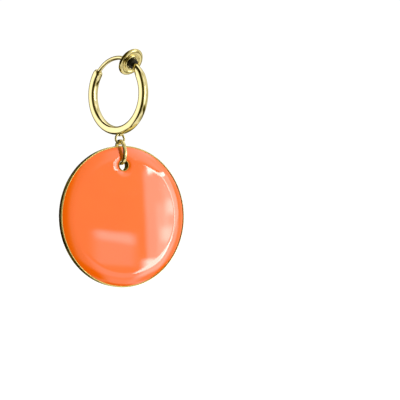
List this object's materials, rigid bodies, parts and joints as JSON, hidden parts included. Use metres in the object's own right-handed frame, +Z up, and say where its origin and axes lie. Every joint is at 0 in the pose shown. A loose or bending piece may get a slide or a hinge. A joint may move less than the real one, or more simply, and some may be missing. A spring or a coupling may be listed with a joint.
{
  "type": "clip-on earring",
  "caption": "Clip-on hoop earring with a sliding spring pad, a rubber tip and a round domed enamel disc that hangs from a jump ring.",
  "frame": {"origin": "the clamp point, where the sliding pad meets the rubber tip on the ear lobe", "axes": "+Z up as worn, the hoop lies in the YZ plane with its clamp at the front (-Y), and the disc hangs below it"},
  "size_m": [0.0246, 0.0143, 0.0413],
  "materials": {
    "gold_plate": "polished pale yellow gold plate",
    "black_rubber": "smooth black rubber",
    "orange_enamel": "poured glossy orange resin enamel"
  },
  "bodies": {
    "hoop": {"hoop_tube": "gold_plate", "rubber_tip": "black_rubber"},
    "clip": {"spring_wire": "gold_plate", "clip_pad": "gold_plate"},
    "link": {"jump_ring": "gold_plate"},
    "pendant": {"pendant_base": "gold_plate", "pendant_enamel": "orange_enamel"}
  },
  "joints": [
    {"name": "clip_slide", "type": "hinge", "parent": "hoop", "child": "clip", "pos_m": [0, 0.00393, -0.00505], "axis": [-1, 0, 0], "range_deg": [0, 60], "stiffness_Nm_per_rad": 0.011, "springref_deg": -40.11},
    {"name": "link_swing", "type": "hinge", "parent": "hoop", "child": "link", "pos_m": [0, 0.00393, -0.01378], "axis": [0.972, -0.2351, 0], "range_deg": [-75, 75]},
    {"name": "pendant_sway", "type": "hinge", "parent": "link", "child": "pendant", "pos_m": [0, 0.00393, -0.01732], "axis": [-0.2351, -0.972, 0], "range_deg": [-15, 15]}
  ]
}
